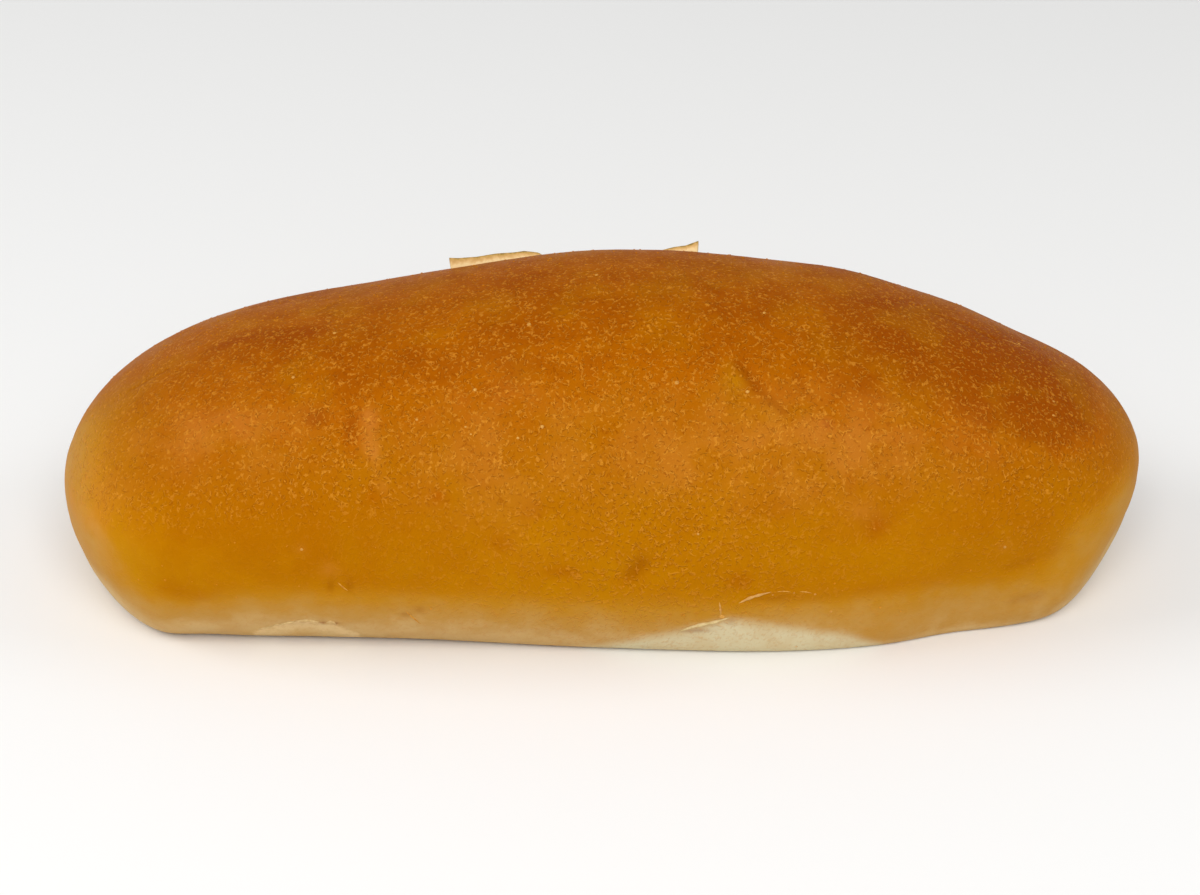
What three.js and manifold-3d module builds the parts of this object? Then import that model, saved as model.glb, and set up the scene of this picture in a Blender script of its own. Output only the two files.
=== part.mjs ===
// A soft oblong bread roll with a browned, satin crust, lying on its flat foot.
// Millimetres and degrees. +X runs along the roll to its right end, -Y is its front, +Z is up.
// Angles go round the roll's long axis: 0 at the back, 90 on the crown, 180 at the front,
// 270 underneath.

import * as THREE from 'three';
import { mergeVertices } from 'three/addons/utils/BufferGeometryUtils.js';
import Module from 'manifold-3d';

const wasm = await Module();
wasm.setup();

// --- The loaf's driving dimensions -------------------------------------------------------

const LENGTH = 170;
const HALF_LENGTH = LENGTH / 2;

// Each line of seven values is read at even stations from the left end to the right end.
// The ends' rounding is a factor of its own, so a value at an end is what the line aims for.
const CROWN_HEIGHT = [31.5, 40.3, 45.8, 49.6, 47.8, 42.2, 36.3]; // the top, above the foot
const WAIST_HEIGHT = [17.5, 17.3, 17.1, 16.9, 17.6, 18.3, 18.9]; // where the loaf is widest
const HALF_WIDTH = [31.6, 32.3, 33.4, 34.4, 33.7, 30.4, 28.4]; // at the waist, either side
const BELLY_DEPTH = [29.1, 24.9, 25.1, 29.2, 33.8, 35.3, 33.6]; // below the waist, uncut by the foot
const AXIS_SWEEP = [-1.3, -0.4, 0.5, 1.3, 0.9, 0.5, 0.1]; // the loaf's slight bow to the back

const LEFT_END_BLUNTNESS = 8.2; // 2 is a round end, more is blunter
const RIGHT_END_BLUNTNESS = 5.05;
const UPPER_FULLNESS = 2.07; // 2 is an ellipse, more fills its corners
const LOWER_FULLNESS = 2.24;
const FOOT_ROUNDING = 1.5; // the height over which the belly turns into the flat foot

// --- Soft bumps (height above 0) and hollows (below 0) of the crust -------------------------
// Each has its middle at x and angle, its half size along the roll and round it, and its height.

const RELIEF = [
  { x: -68, angle: 206, along: 4.5, round: 10, height: 1 }, // left lower corner
  { x: -80, angle: 214, along: 5.5, round: 12, height: -2 }, // tuck under the left end
  { x: 71, angle: 214, along: 6, round: 8, height: 1.4 }, // right lower corner
  { x: 81.5, angle: 224, along: 4.5, round: 9, height: -2.6 }, // flat under the right end
  { x: 54, angle: 207, along: 7.5, round: 11, height: -1.3 }, // tuck beside the pale belly
  { x: -42, angle: 68, along: 14, round: 12, height: -0.4 }, // slack crown, left
  { x: 40, angle: 62, along: 8, round: 10, height: 0.5 }, // full crown, right
  { x: 67, angle: 56, along: 7, round: 14, height: -0.9 }, // slack crown, right end
  { x: 21, angle: 129, along: 2.6, round: 3.2, height: -1 }, // dimple in front of the crown
  { x: 23.6, angle: 126, along: 1.8, round: 3.6, height: 0.4 }, // rim of that dimple
  { x: 28.6, angle: 129.5, along: 2.2, round: 2.2, height: -0.5 }, // smaller dimple beside it
  { x: -34.8, angle: 142.5, along: 2.4, round: 7, height: 0.5 }, // upright blister on the front
  { x: -40, angle: 142, along: 2.4, round: 8, height: -0.35 }, // slack skin beside it
  { x: 4.7, angle: 179, along: 2.6, round: 1.8, height: -0.4 }, // shallow dent on the front
  { x: 41, angle: 170.5, along: 3, round: 3, height: -0.4 }, // shallow dent, right
  { x: -46.3, angle: 204.5, along: 6, round: 2.4, height: -0.7 }, // torn patch at the foot
];
const ANGLE_SCALE = 32; // the radius at which an angle is turned into a length round the roll
const POLE_RADIUS = 8; // nearer to the end's middle than this the relief fades out

// --- Thin strips of crust that stand up from the loaf -------------------------------------

// Creases, torn rims and flakes: rolled-up edges of skin, each along a few [x, angle] points
const CREASES = [
  { points: [[12, 198.5], [15.3, 196.6], [18.9, 194]], width: 1.3, height: 0.55 }, // lower front
  { points: [[20, 189.6], [25.7, 186], [32, 189.2]], width: 1, height: 0.4 }, // upper front
  { points: [[17.9, 193.4], [17.3, 191], [16.6, 188.6]], width: 0.8, height: 0.35 }, // fork
  { points: [[-52.3, 205], [-46.2, 200.4], [-40.4, 203.6]], width: 0.9, height: 0.3 }, // torn rim
  { points: [[-40, 182.4], [-39.2, 184.4], [-38, 185.6]], width: 0.8, height: 0.25 }, // left front
  { points: [[-29, 189.6], [-27.8, 191.8], [-26.1, 192.8]], width: 0.8, height: 0.25 },
  { points: [[53, 86], [55.4, 92], [58.1, 100]], width: 0.9, height: 0.25 }, // crown, right
];
const CREASE_ROOT = 0.5; // how deep a crease's edge is sunk into the crust

// One peeled lip of crust just behind the crown. Its two ends stand up, its middle lies down.
const LIP = {
  endAngle: 57.5, // of its root at both ends
  middleAngle: 51, // of its root in the middle, further back
  // Its ragged free edge: x, and how far it stands out of the crust there
  edge: [[-24.4, 1.8], [-20, 1.3], [-14, 1.25], [-10.6, 0.7], [-9.6, 0.05], [9, 0.05], [15, 1.8]],
  root: 0.9,
  thickness: 0.7,
};

// --- Meshing --------------------------------------------------------------------------------

const CELLS_ALONG = 56; // between the two end caps
const CELLS_ACROSS = 18; // on each of the four sides
const CAP_SHARE = 0.115; // of the way from pole to pole that each end cap takes
const UNDERSIDE_STRETCH = 0.2; // makes the cells coarser underneath and finer on the crown
const STRIP_SIDES = 8;
const STRIP_STEP = 0.9; // along a strip, about

const radians = THREE.MathUtils.degToRad;

function stationLine(values) {
  const points = values.map((value, station) => new THREE.Vector3(station, value, 0));
  const curve = new THREE.CatmullRomCurve3(points, false, 'catmullrom', 0.5);
  return (x) => curve.getPoint((x / HALF_LENGTH + 1) / 2).y;
}

const crownHeight = stationLine(CROWN_HEIGHT);
const waistHeight = stationLine(WAIST_HEIGHT);
const halfWidth = stationLine(HALF_WIDTH);
const bellyDepth = stationLine(BELLY_DEPTH);
const axisSweep = stationLine(AXIS_SWEEP);

// 1 along the loaf's middle, falling to 0 at each end's pole
function endRounding(x) {
  const bluntness = x < 0 ? LEFT_END_BLUNTNESS : RIGHT_END_BLUNTNESS;
  const reach = Math.min(Math.abs(x) / HALF_LENGTH, 1);
  return Math.sqrt(1 - reach ** bluntness);
}

function reliefHeight(x, angle) {
  let height = 0;
  for (const spot of RELIEF) {
    const turn = THREE.MathUtils.euclideanModulo(angle - spot.angle + 180, 360) - 180;
    const along = (x - spot.x) / spot.along;
    const round = (radians(turn) * ANGLE_SCALE) / spot.round;
    height += spot.height * Math.exp(-along * along - round * round);
  }
  return height;
}

// 0 below the floor, unchanged above it, with a rounded turn between
function restOnFloor(z) {
  if (z >= FOOT_ROUNDING) return z;
  if (z <= -FOOT_ROUNDING) return 0;
  return (z + FOOT_ROUNDING) ** 2 / (4 * FOOT_ROUNDING);
}

// The point of the crust at a place along the roll and an angle round it
function crustPoint(x, angle) {
  const rounding = endRounding(x);
  const across = Math.cos(radians(angle));
  const upward = Math.sin(radians(angle));
  const waist = waistHeight(x);
  if (rounding < 1e-6) return new THREE.Vector3(x, axisSweep(x), waist);

  const upper = upward > 0;
  const depth = upper ? crownHeight(x) - waist : bellyDepth(x);
  const fullness = upper ? UPPER_FULLNESS : LOWER_FULLNESS;
  const wide = Math.abs(across / (halfWidth(x) * rounding)) ** fullness;
  const tall = Math.abs(upward / (depth * rounding)) ** fullness;
  const plain = (wide + tall) ** (-1 / fullness);
  const radius = plain + reliefHeight(x, angle) * Math.min(1, plain / POLE_RADIUS);
  const y = axisSweep(x) + radius * across;
  return new THREE.Vector3(x, y, restOnFloor(waist + radius * upward));
}

// The angle of a point on a square's outline, so that even steps stay even round the loaf
function squareAngle(y, z) {
  const reach = Math.max(Math.abs(y), Math.abs(z));
  let angle;
  if (z === reach) angle = 90 - (45 * y) / reach;
  else if (z === -reach) angle = 270 + (45 * y) / reach;
  else if (y === reach) angle = (45 * z) / reach;
  else angle = 180 - (45 * z) / reach;
  return angle + THREE.MathUtils.radToDeg(UNDERSIDE_STRETCH * Math.cos(radians(angle)));
}

// A finely divided box, blown up to the loaf: its four long sides go round the roll, and its
// two ends make the caps, so no triangles crowd at a pole.
function loafGeometry() {
  const across = CELLS_ACROSS;
  const box = new THREE.BoxGeometry(2, 2, 2, CELLS_ALONG, across, across);
  const position = box.attributes.position;
  for (let i = 0; i < position.count; i += 1) {
    const [bx, by, bz] = [position.getX(i), position.getY(i), position.getZ(i)];
    const reach = Math.max(Math.abs(by), Math.abs(bz));
    const onCap = Math.abs(bx) === 1;
    const side = THREE.MathUtils.lerp(CAP_SHARE, 1 - CAP_SHARE, (bx + 1) / 2);
    const cap = bx < 0 ? CAP_SHARE * reach : 1 - CAP_SHARE * reach;
    const x = -HALF_LENGTH * Math.cos(Math.PI * (onCap ? cap : side));
    const angle = reach === 0 ? 0 : squareAngle(by, bz);
    const point = crustPoint(x, angle);
    position.setXYZ(i, point.x, point.y, point.z);
  }
  return closedGeometry(box);
}

// Drops what isn't the shape itself and joins the vertices that lie on each other
function closedGeometry(geometry) {
  geometry.deleteAttribute('normal');
  geometry.deleteAttribute('uv');
  return mergeVertices(geometry, 1e-4);
}

function crustNormal(x, angle) {
  const step = 0.4;
  const along = crustPoint(x + step, angle).sub(crustPoint(x - step, angle));
  const round = crustPoint(x, angle + step).sub(crustPoint(x, angle - step));
  return along.cross(round).normalize();
}

// A strip that follows a route over the crust. size(t) gives, at a share t of the way, the
// half width across the strip, how far it stands out and how deep its root is.
function stripGeometry(points, size) {
  const route = new THREE.SplineCurve(points.map(([x, angle]) => new THREE.Vector2(x, angle)));
  const places = [];
  const span = crustPoint(...points[0]).distanceTo(crustPoint(...points.at(-1)));
  const steps = Math.max(4, Math.ceil(span / STRIP_STEP));
  for (let i = 0; i <= steps; i += 1) places.push(route.getPoint(i / steps));

  const vertices = [];
  places.forEach((place, i) => {
    const centre = crustPoint(place.x, place.y);
    const normal = crustNormal(place.x, place.y);
    const before = places[Math.max(i - 1, 0)];
    const after = places[Math.min(i + 1, steps)];
    const forward = crustPoint(after.x, after.y).sub(crustPoint(before.x, before.y)).normalize();
    const sideways = new THREE.Vector3().crossVectors(normal, forward).normalize();
    const { halfWidth: half, rise, root } = size(i / steps);
    const middle = centre.clone().addScaledVector(normal, (rise - root) / 2);
    for (let k = 0; k < STRIP_SIDES; k += 1) {
      const turn = (2 * Math.PI * k) / STRIP_SIDES;
      const corner = middle.clone().addScaledVector(sideways, half * Math.cos(turn));
      vertices.push(corner.addScaledVector(normal, ((rise + root) / 2) * Math.sin(turn)));
    }
  });
  return tubeFromRings(vertices, STRIP_SIDES);
}

// Closes a stack of rings of points into a solid, with a flat fan on each end
function tubeFromRings(vertices, sides) {
  const rings = vertices.length / sides;
  const index = [];
  for (let ring = 0; ring < rings - 1; ring += 1) {
    for (let k = 0; k < sides; k += 1) {
      const a = ring * sides + k;
      const b = ring * sides + ((k + 1) % sides);
      index.push(a, b, b + sides, a, b + sides, a + sides);
    }
  }
  const last = (rings - 1) * sides;
  for (let k = 1; k < sides - 1; k += 1) {
    index.push(0, k + 1, k);
    index.push(last, last + k, last + k + 1);
  }
  const geometry = new THREE.BufferGeometry().setFromPoints(vertices);
  geometry.setIndex(index);
  return geometry;
}

function creaseGeometry({ points, width, height }) {
  const taper = (t) => 0.25 + 0.75 * Math.sin(Math.PI * t);
  return stripGeometry(points, (t) => ({
    halfWidth: (width / 2) * taper(t),
    rise: height * taper(t),
    root: CREASE_ROOT,
  }));
}

function lipGeometry() {
  const left = LIP.edge[0][0];
  const length = LIP.edge.at(-1)[0] - left;
  const points = [0, 0.25, 0.5, 0.75, 1].map((t) => {
    const towardsEnd = (2 * t - 1) ** 2;
    return [left + t * length, THREE.MathUtils.lerp(LIP.middleAngle, LIP.endAngle, towardsEnd)];
  });
  return stripGeometry(points, (t) => ({
    halfWidth: LIP.thickness / 2,
    rise: edgeRise(left + t * length),
    root: LIP.root,
  }));
}

// How far the lip's free edge stands out at x, straight between the points of its edge
function edgeRise(x) {
  const next = LIP.edge.findIndex(([edgeX]) => edgeX >= x);
  if (next <= 0) return next === 0 ? LIP.edge[0][1] : LIP.edge.at(-1)[1];
  const [fromX, fromRise] = LIP.edge[next - 1];
  const [toX, toRise] = LIP.edge[next];
  return THREE.MathUtils.mapLinear(x, fromX, toX, fromRise, toRise);
}

// --- Joining ----------------------------------------------------------------------------------

function solidFrom(geometry) {
  const vertProperties = new Float32Array(geometry.attributes.position.array);
  const triVerts = new Uint32Array(geometry.index.array);
  return new wasm.Manifold(new wasm.Mesh({ numProp: 3, vertProperties, triVerts }));
}

function geometryFrom(solid) {
  const { vertProperties, triVerts } = solid.getMesh();
  const geometry = new THREE.BufferGeometry();
  geometry.setAttribute('position', new THREE.BufferAttribute(vertProperties, 3));
  geometry.setIndex(new THREE.BufferAttribute(triVerts, 1));
  return geometry;
}

// The origin is put under the middle of the roll, on the floor
function centreOnFloor(geometry) {
  geometry.computeBoundingBox();
  const middle = geometry.boundingBox.getCenter(new THREE.Vector3());
  geometry.translate(-middle.x, -middle.y, -geometry.boundingBox.min.z);
  return geometry;
}

const strips = [...CREASES.map(creaseGeometry), lipGeometry()];
const bread = strips.reduce((solid, strip) => solid.add(solidFrom(strip)), solidFrom(loafGeometry()));

const crust = new THREE.MeshStandardMaterial({ color: 0xb96d0c, roughness: 0.55, metalness: 0 });
const roll = new THREE.Mesh(centreOnFloor(geometryFrom(bread)), crust);
roll.name = 'roll';

const part = new THREE.Group();
part.name = 'bread_roll';
part.add(roll);

export default part;
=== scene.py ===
# %% [markdown]
# # A soft bread roll with a browned crust
# The object is one closed, oblong roll: a smooth baked skin, darkest on its crown and pale
# at the foot that lay on the baking tray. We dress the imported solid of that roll. The solid
# gives the place and the size, and everything that the eye reads as bread is made here: the
# skin's swells and dimples, its pinhead blisters, its torn and rolled-up edges, and its
# colours. Lengths are thought of in millimetres, as a baker would measure, and go into
# Blender in metres.

# %% Load the frame
import math

import bpy
import numpy as np
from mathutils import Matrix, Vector


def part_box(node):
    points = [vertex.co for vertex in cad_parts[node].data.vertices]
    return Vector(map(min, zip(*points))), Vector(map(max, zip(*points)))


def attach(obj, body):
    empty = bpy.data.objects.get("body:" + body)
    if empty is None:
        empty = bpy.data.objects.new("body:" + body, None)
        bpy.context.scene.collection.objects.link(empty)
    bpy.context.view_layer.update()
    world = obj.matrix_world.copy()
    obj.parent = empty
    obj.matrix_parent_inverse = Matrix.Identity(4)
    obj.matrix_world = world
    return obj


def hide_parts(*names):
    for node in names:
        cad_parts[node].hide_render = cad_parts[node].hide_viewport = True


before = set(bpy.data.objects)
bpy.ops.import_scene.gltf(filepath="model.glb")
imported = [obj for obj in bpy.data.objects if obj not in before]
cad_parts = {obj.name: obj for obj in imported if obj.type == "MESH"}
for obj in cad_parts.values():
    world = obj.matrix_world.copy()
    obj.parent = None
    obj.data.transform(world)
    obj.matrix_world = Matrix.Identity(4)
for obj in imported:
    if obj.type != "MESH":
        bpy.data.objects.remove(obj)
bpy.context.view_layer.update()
MM = 0.001

# %% [markdown]
# ## The camera
# The roll was seen from its long side and from above by about a third of a right angle: the
# crown hides the back, and the pale foot still shows. A portrait lens keeps the ends from
# swelling. The lens looks at a point inside the roll, a little below its middle.

# %% Camera
CAMERA_HEIGHT_ANGLE = 30.0
CAMERA_DISTANCE = 450.0
CAMERA_LENS, SENSOR_WIDTH = 84.9, 36.0
LOOK_AT = (-0.55, -1.3, 19.75)
NEAREST_SEEN, FURTHEST_SEEN = 0.01, 20.0  # in metres


def place_camera():
    lens = bpy.data.cameras.new("camera")
    lens.lens = CAMERA_LENS
    lens.sensor_width = SENSOR_WIDTH
    lens.clip_start, lens.clip_end = NEAREST_SEEN, FURTHEST_SEEN
    camera = bpy.data.objects.new("camera", lens)
    tilt = math.radians(CAMERA_HEIGHT_ANGLE)
    back = Vector((0, -math.cos(tilt), math.sin(tilt)))
    camera.location = (Vector(LOOK_AT) + back * CAMERA_DISTANCE) * MM
    camera.rotation_euler = (-back).to_track_quat("-Z", "Y").to_euler()
    bpy.context.scene.collection.objects.link(camera)
    bpy.context.scene.camera = camera
    return camera


camera = place_camera()
print("camera at, in mm:", [round(v / MM) for v in camera.location])

# %% [markdown]
# ## The loaf's own lines
# A hand-shaped roll has no exact form, but it follows a few smooth lines from end to end:
# how high the crown is, how wide it is at the waist, how deep the belly hangs and how the
# axis bows. Each line is read at seven even stations, the same ones that the solid was made
# from, with a Catmull-Rom curve, which passes through every value and stays smooth.

# %% Station lines
LENGTH = 170.0
HALF_LENGTH = LENGTH / 2
CROWN_HEIGHT = (31.5, 40.3, 45.8, 49.6, 47.8, 42.2, 36.3)
WAIST_HEIGHT = (17.5, 17.3, 17.1, 16.9, 17.6, 18.3, 18.9)
HALF_WIDTH = (31.6, 32.3, 33.4, 34.4, 33.7, 30.4, 28.4)
BELLY_DEPTH = (29.1, 24.9, 25.1, 29.2, 33.8, 35.3, 33.6)
AXIS_SWEEP = (-1.3, -0.4, 0.5, 1.3, 0.9, 0.5, 0.1)


def smooth_curve(values, way):
    """A Catmull-Rom curve, read at way: 0 is the first value, 1 the second, and so on."""
    v = np.array(values, float)
    v = np.concatenate([[2 * v[0] - v[1]], v, [2 * v[-1] - v[-2]]])
    cell = np.minimum(way.astype(int), len(values) - 2)
    t = (way - cell).reshape(way.shape + (1,) * (v.ndim - 1))
    before, start, end, after = (v[cell + k] for k in range(4))
    straight = 2 * start + (end - before) * t
    bend = (2 * before - 5 * start + 4 * end - after) * t**2
    twist = (3 * start - 3 * end + after - before) * t**3
    return (straight + bend + twist) / 2


def along(values, x):
    """Reads a line of station values at x, an array in mm."""
    cells = len(values) - 1
    return smooth_curve(values, np.clip((x / HALF_LENGTH + 1) / 2 * cells, 0, cells))


print("crown over the middle of the roll, in mm:", along(CROWN_HEIGHT, np.array([0.0]))[0])

# %% [markdown]
# ## Swells and dimples
# The skin rises and sinks where gas gathered under it or where a finger or the tray's edge
# touched the dough. Each such place is one soft bump: where it is, how far it reaches along
# the roll and round it, and how high it stands. Angles go round the roll: 0 at the back,
# 90 on the crown, 180 at the front, 270 underneath.

# %% Relief
# x, angle, reach along, reach round, height
FORM_RELIEF = (
    (-68, 206, 4.5, 10, 1.0),  # left lower corner
    (-80, 214, 5.5, 12, -2.0),  # tuck under the left end
    (71, 214, 6, 8, 1.4),  # right lower corner
    (81.5, 224, 4.5, 9, -2.6),  # flat under the right end
    (54, 207, 7.5, 11, -1.3),  # tuck beside the pale belly
    (-42, 68, 14, 12, -0.4),  # slack crown, left
    (40, 62, 8, 10, 0.5),  # full crown, right
    (67, 56, 7, 14, -0.9),  # slack crown, right end
)
SKIN_RELIEF = (
    (20.6, 129.6, 2.0, 2.6, -0.8),  # dimple in front of the crown
    (23.6, 126.5, 1.5, 2.2, 0.45),  # rim of that dimple
    (25.4, 131, 1.5, 1.8, 0.3),
    (28.8, 131, 1.4, 1.5, -0.3),  # smaller dimple beside it
    (-34.8, 142.5, 2.2, 6, 0.35),  # upright blister on the front
    (-37.6, 141, 1.4, 4, -0.3),  # slack skin beside it
    (4.7, 179, 2.8, 2.2, -0.3),  # shallow dent on the front
    (40.8, 170, 3, 3, -0.4),  # shallow dent, right
    (38.8, 164.6, 2, 2, 0.2),
    (-40.6, 185, 1.8, 1.8, -0.25),
    (-46.3, 204.5, 6, 2.4, -0.6),  # torn patch at the foot
)
ANGLE_SCALE = 32.0  # the radius at which an angle becomes a length round the roll
# route of (x, angle) points, reach to each side, depth, how much painted shade lies in it
# the furrows are dented into the skin and carry painted shade: a darker colour where their walls
# turn from the light
FURROWS = (
    (((20.2, 124), (21.8, 128.2), (22.9, 131.4)), 0.8, 0.34, 0.75),  # wall of the dimple
    (((22.9, 131.4), (24.4, 134.6), (27, 138)), 0.75, 0.17, 0.52),
    (((29.0, 127.4), (29.6, 130.4), (30.4, 132.8)), 0.7, 0.18, 0.4),  # wall of the small one
    (((5.7, 177), (4.2, 180.6)), 1.2, 0.2, 0.5),  # slanted dent on the front
    (((-73, 100.6), (-70.5, 99.6), (-67.6, 97.6)), 0.9, 0.12, 0.4),  # along the left shoulder
    (((-44, 84), (-41.2, 78.4)), 0.8, 0.1, 0.35),
    (((51.6, 84.6), (56.5, 86.8), (60.4, 91)), 0.8, 0.14, 0.4),  # along the right shoulder
    (((61.6, 190.6), (65, 189.6)), 1.2, 0.14, 0.22),  # folds over the right foot
    (((63.6, 206), (66.8, 206.8)), 1.2, 0.14, 0.22),
)


def spot(x, angle, middle_x, middle_angle, reach_along, reach_round):
    """1 at the spot's middle, fading to 0 a little past its reach."""
    turn = (angle - middle_angle + 180) % 360 - 180
    u = (x - middle_x) / reach_along
    v = np.radians(turn) * ANGLE_SCALE / reach_round
    return np.exp(-u * u - v * v)


def beside(x, angle, route, reach):
    """1 on a route over the skin, fading to 0 a little past its reach."""
    place = np.stack([x, np.radians(angle) * ANGLE_SCALE], axis=-1)
    stops = np.array(route) * (1, math.radians(ANGLE_SCALE))
    nearest = np.full(place.shape[:-1], np.inf)
    for start, end in zip(stops, stops[1:]):
        way = end - start
        t = np.clip((place - start) @ way / (way @ way), 0, 1)
        off = place - start - t[..., None] * way
        nearest = np.minimum(nearest, (off**2).sum(axis=-1))
    return np.exp(-nearest / reach**2)


def relief(x, angle):
    x, angle = np.broadcast_arrays(x, angle)
    swells = sum(height * spot(x, angle, *place) for *place, height in FORM_RELIEF + SKIN_RELIEF)
    furrows = sum(depth * beside(x, angle, route, reach) for route, reach, depth, _ in FURROWS)
    return swells - furrows


print("bumps and hollows in the skin:", len(FORM_RELIEF + SKIN_RELIEF), "furrows:", len(FURROWS))

# %% [markdown]
# ## The crust's surface
# Across the roll each section is nearly an ellipse, a little fuller than one, with a wide
# upper half and a lower half that the tray cut flat. Towards the ends the sections shrink
# as a blunt cap does. The foot turns into the flat base over a millimetre and a half.

# %% Surface formula
LEFT_END_BLUNTNESS, RIGHT_END_BLUNTNESS = 8.2, 5.05
UPPER_FULLNESS, LOWER_FULLNESS = 2.07, 2.24
FOOT_ROUNDING = 1.5
POLE_RADIUS = 8.0  # nearer to an end's middle than this the relief fades out


def crust_points(x, angle, bumps=1.0):
    """The crust's points at x (mm) and angle (degrees), before the roll is centred."""
    bluntness = np.where(x < 0, LEFT_END_BLUNTNESS, RIGHT_END_BLUNTNESS)
    reach = np.minimum(np.abs(x) / HALF_LENGTH, 1)
    rounding = np.maximum(np.sqrt(1 - reach**bluntness), 1e-5)
    across, upward = np.cos(np.radians(angle)), np.sin(np.radians(angle))
    waist = along(WAIST_HEIGHT, x)
    upper = upward > 0
    depth = np.where(upper, along(CROWN_HEIGHT, x) - waist, along(BELLY_DEPTH, x))
    fullness = np.where(upper, UPPER_FULLNESS, LOWER_FULLNESS)
    wide = np.abs(across / (along(HALF_WIDTH, x) * rounding)) ** fullness
    tall = np.abs(upward / (depth * rounding)) ** fullness
    radius = (wide + tall) ** (-1 / fullness)
    radius = radius + bumps * relief(x, angle) * np.minimum(1, radius / POLE_RADIUS)
    y = along(AXIS_SWEEP, x) + radius * across
    z = waist + radius * upward
    turning = (z + FOOT_ROUNDING) ** 2 / (4 * FOOT_ROUNDING)
    z = np.where(z >= FOOT_ROUNDING, z, np.where(z <= -FOOT_ROUNDING, 0, turning))
    return np.stack([x + 0 * y, y, z], axis=-1)


# The solid was moved so that its box stands centred. Nothing stands out of the roll's back,
# so the back of the formula is laid on the back of the solid.
probe_x, probe_angle = np.meshgrid(np.linspace(-80, 80, 321), np.linspace(-60, 60, 241))
back_of_formula = crust_points(probe_x, probe_angle)[..., 1].max()
CENTRING = np.array([0.0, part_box("roll")[1].y / MM - back_of_formula, 0.0])
print("the roll is moved back by, in mm:", round(float(CENTRING[1]), 2))

# %% [markdown]
# ## An even skin of faces
# Lines of longitude would crowd at the two ends and pinch the light there. So we blow up a
# finely divided box instead: its four long sides go round the roll and its two ends make
# the caps. The cells are finest on the front and crown, where the skin is looked at, and
# coarser underneath.

# %% Box to loaf
CELLS_ALONG = 320
CELLS_ACROSS = 66
CAP_SHARE = 0.115  # the share of a half turn that each end takes
FRONT_FINENESS = 0.28
CROWN_FINENESS = 0.2


def box_shell(cells_along, cells_across):
    """Points and quads of a closed box from -1 to 1, its shared edges joined."""
    corners, quads, count = [], [], 0
    long_way = np.linspace(-1, 1, cells_along + 1)
    short_way = np.linspace(-1, 1, cells_across + 1)
    for axis, (first, second) in {0: (1, 2), 1: (2, 0), 2: (0, 1)}.items():
        steps = [long_way if a == 0 else short_way for a in (first, second)]
        u, v = np.meshgrid(*steps, indexing="ij")
        for side in (-1, 1):
            points = np.empty(u.shape + (3,))
            points[..., axis], points[..., first], points[..., second] = side, u, v
            number = count + np.arange(u.size).reshape(u.shape)
            a, b = number[:-1, :-1], number[1:, :-1]
            c, d = number[1:, 1:], number[:-1, 1:]
            ring = (a, b, c, d) if side > 0 else (a, d, c, b)
            quads.append(np.stack([r.ravel() for r in ring], axis=-1))
            corners.append(points.reshape(-1, 3))
            count += u.size
    corners, quads = np.concatenate(corners), np.concatenate(quads)
    _, where, joined = np.unique(
        np.round(corners, 7), axis=0, return_index=True, return_inverse=True
    )
    return corners[where], joined.reshape(-1)[quads]


def square_angle(y, z):
    """The angle of a point on a square's outline, with even steps round the loaf."""
    reach = np.maximum(np.maximum(np.abs(y), np.abs(z)), 1e-9)
    y, z = y / reach, z / reach
    on_top, below, behind = z >= 1, z <= -1, y >= 1
    angle = np.where(on_top, 90 - 45 * y, np.where(below, 270 + 45 * y, 0))
    angle = np.where(~on_top & ~below, np.where(behind, 45 * z, 180 - 45 * z), angle)
    turn = np.radians(angle)
    finer = CROWN_FINENESS * np.cos(turn) + FRONT_FINENESS * np.sin(turn)
    return angle + np.degrees(finer)


def box_to_roll(box_points):
    """x and angle on the roll for each point of the box."""
    bx, by, bz = box_points.T
    reach = np.maximum(np.abs(by), np.abs(bz))
    side = bx * HALF_LENGTH * math.cos(math.pi * CAP_SHARE)
    cap = np.sign(bx) * HALF_LENGTH * np.cos(np.pi * CAP_SHARE * reach)
    return np.where(np.abs(bx) > 1 - 1e-6, cap, side), square_angle(by, bz)


box_points, box_quads = box_shell(CELLS_ALONG, CELLS_ACROSS)
roll_x, roll_angle = box_to_roll(box_points)
roll_points = crust_points(roll_x, roll_angle) + CENTRING
print("crust points:", len(roll_points), "quads:", len(box_quads))

# %% [markdown]
# ## The skin as a mesh
# The points and faces become one closed mesh. Which way each place faces decides how an oven
# colours it. We read that from the same roll without its bumps, because heat doesn't follow
# every dimple.

# %% Crust mesh


def new_mesh_object(name, points_mm, faces):
    mesh = bpy.data.meshes.new(name)
    mesh.from_pydata((np.asarray(points_mm) * MM).tolist(), [], faces)
    mesh.shade_smooth()
    mesh.update()
    made = bpy.data.objects.new(name, mesh)
    bpy.context.scene.collection.objects.link(made)
    return made


def store(mesh, name, values):
    """Keeps one number for each point of the mesh, for the materials to read."""
    attribute = mesh.attributes.new(name, "FLOAT", "POINT")
    attribute.data.foreach_set("value", np.asarray(values, np.float32))


def facing_of_smooth_roll():
    """Which way each point would face on a roll without bumps."""
    smooth_roll = crust_points(roll_x, roll_angle, bumps=0.0)
    smooth = new_mesh_object("smooth roll", smooth_roll, box_quads.tolist())
    normals = np.empty(len(roll_points) * 3, np.float32)
    smooth.data.vertices.foreach_get("normal", normals)
    bpy.data.objects.remove(smooth)
    return normals.reshape(-1, 3)


crust_blank = new_mesh_object("crust blank", roll_points, box_quads.tolist())
facing = facing_of_smooth_roll()
height = roll_points[:, 2]
print("crust faces:", len(crust_blank.data.polygons),
      "facing up on the crown:", round(float(facing[height.argmax(), 2]), 2))

# %% [markdown]
# ## How brown the crust is, place by place
# An oven browns what faces its heat: the crown goes deep brown and the flanks golden. What
# faces down stays tan, because the roll shades it and the tray cools it. We keep that as
# named numbers on the skin's own points, so that the material looks the same from any side.
# `browning` is 1 on the crown and falls down the flanks. `pale` marks the foot and, more
# faintly, the lower part of the two ends.

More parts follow.
